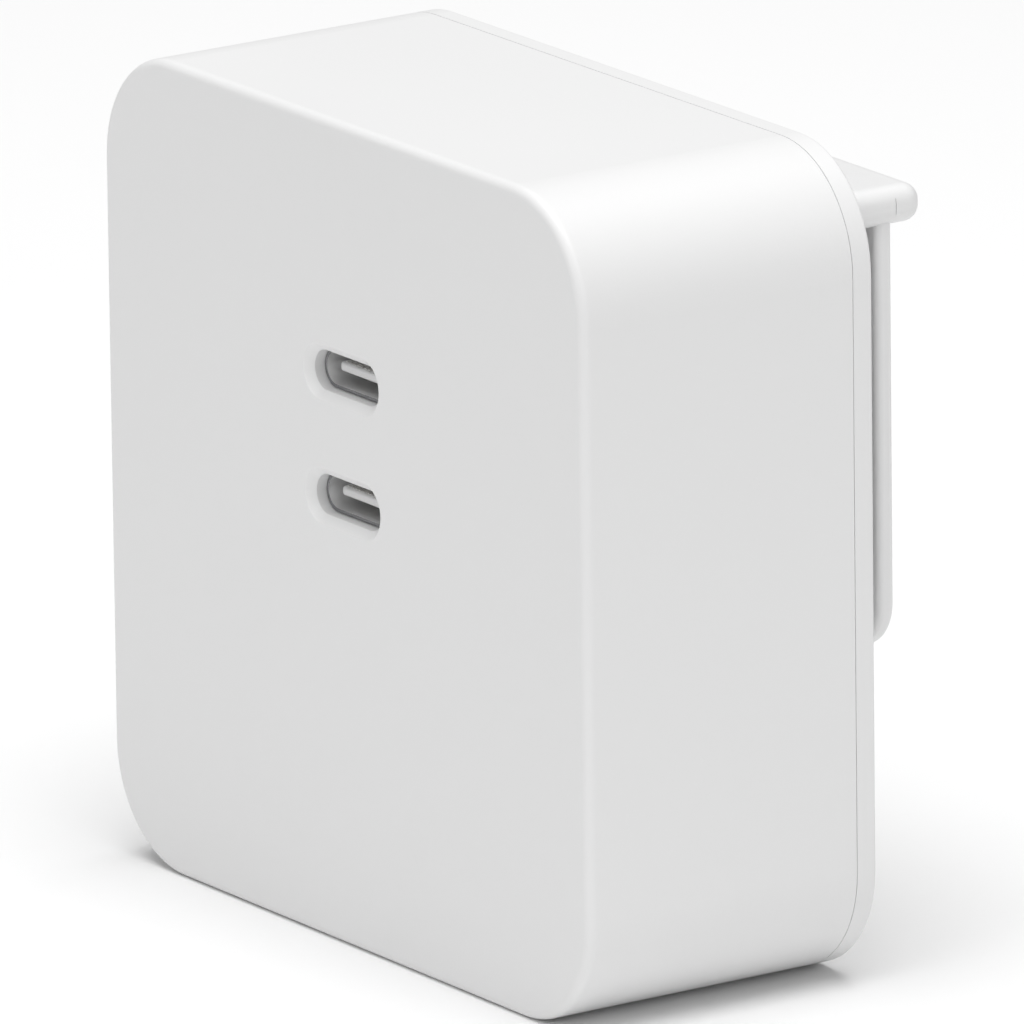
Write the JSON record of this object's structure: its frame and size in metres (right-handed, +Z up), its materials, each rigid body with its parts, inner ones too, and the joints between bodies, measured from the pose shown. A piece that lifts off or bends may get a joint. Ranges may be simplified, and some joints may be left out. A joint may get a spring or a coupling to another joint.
{
  "type": "usb wall charger",
  "caption": "Square white wall charger with USB-C ports in its large face, a slide-on plug head behind it and folding flat blades.",
  "frame": {"origin": "centre of the bottom face that the charger stands on, midway between the front and back faces of the case", "axes": "+Z up, -Y towards the USB ports, +Y towards the plug, +X to the right seen from the ports"},
  "size_m": [0.065, 0.0348, 0.065],
  "materials": {
    "white_case": "fine satin texture",
    "white_head": "fine satin texture",
    "port_steel": "bright, drawn",
    "port_plastic": "smooth",
    "gold_contacts": "gold plated",
    "board_green": "solder mask",
    "black_plastic": "moulded",
    "ferrite": "sintered",
    "winding_tape": "polyester tape",
    "copper_wire": "enamelled",
    "capacitor_sleeve": "shrink sleeve",
    "capacitor_can": "drawn can",
    "yellow_box": "moulded",
    "blue_disc": "epoxy coated",
    "heat_plate": "brushed",
    "insulating_sheet": "thin film",
    "grey_pad": "soft",
    "contact_brass": "polished",
    "spring_steel": "rolled",
    "blade_nickel": "nickel plated",
    "rotor_white": "smooth"
  },
  "bodies": {
    "case": {"housing": "white_case", "back_cover": "white_case", "main_board": "board_green", "port_board": "board_green", "board_link_header": "black_plastic", "board_link_pins": "gold_contacts", "usb_controller_chips": "black_plastic", "front_heat_spreader": "heat_plate", "front_insulation_sheet": "insulating_sheet", "transformer_core": "ferrite", "transformer_bobbin": "black_plastic", "transformer_winding": "winding_tape", "choke_core": "ferrite", "choke_windings": "copper_wire", "output_inductor_core": "ferrite", "output_inductor_winding": "copper_wire", "x_capacitor": "yellow_box", "fuse": "black_plastic", "y_capacitor": "blue_disc", "bridge_rectifier": "black_plastic", "switch_transistor": "black_plastic", "controller_chip": "black_plastic", "sync_rectifier_chip": "black_plastic", "thermal_pad": "grey_pad", "rear_heat_spreader": "heat_plate", "insulation_barrier": "insulating_sheet", "dock_detent_spring": "spring_steel", "port_shell_upper": "port_steel", "port_shell_lower": "port_steel", "port_insulator_upper": "port_plastic", "port_insulator_lower": "port_plastic", "port_contacts_upper": "gold_contacts", "port_contacts_lower": "gold_contacts", "bulk_capacitor_1": "capacitor_sleeve", "bulk_capacitor_2": "capacitor_sleeve", "output_capacitor_1": "capacitor_can", "output_capacitor_2": "capacitor_can", "output_capacitor_3": "capacitor_can", "mains_stud_live": "contact_brass", "mains_stud_neutral": "contact_brass"},
    "plug_head": {"plug_head_base": "white_head", "plug_head_cover": "white_head", "blade_detent_spring": "spring_steel", "head_contact_live": "contact_brass", "head_contact_neutral": "contact_brass"},
    "blades": {"blade_rotor": "rotor_white", "blade_pivot_pin": "spring_steel", "blade_left": "blade_nickel", "blade_right": "blade_nickel"}
  },
  "joints": [
    {"name": "head_slide", "type": "slide", "parent": "case", "child": "plug_head", "axis": [0, 0, 1], "range_m": [0, 0.03], "deforming": ["dock_detent_spring"]},
    {"name": "blade_fold", "type": "hinge", "parent": "plug_head", "child": "blades", "pos_m": [0, 0.01833, 0.0534], "axis": [1, 0, 0], "range_deg": [0, 90], "deforming": ["blade_detent_spring"]}
  ]
}
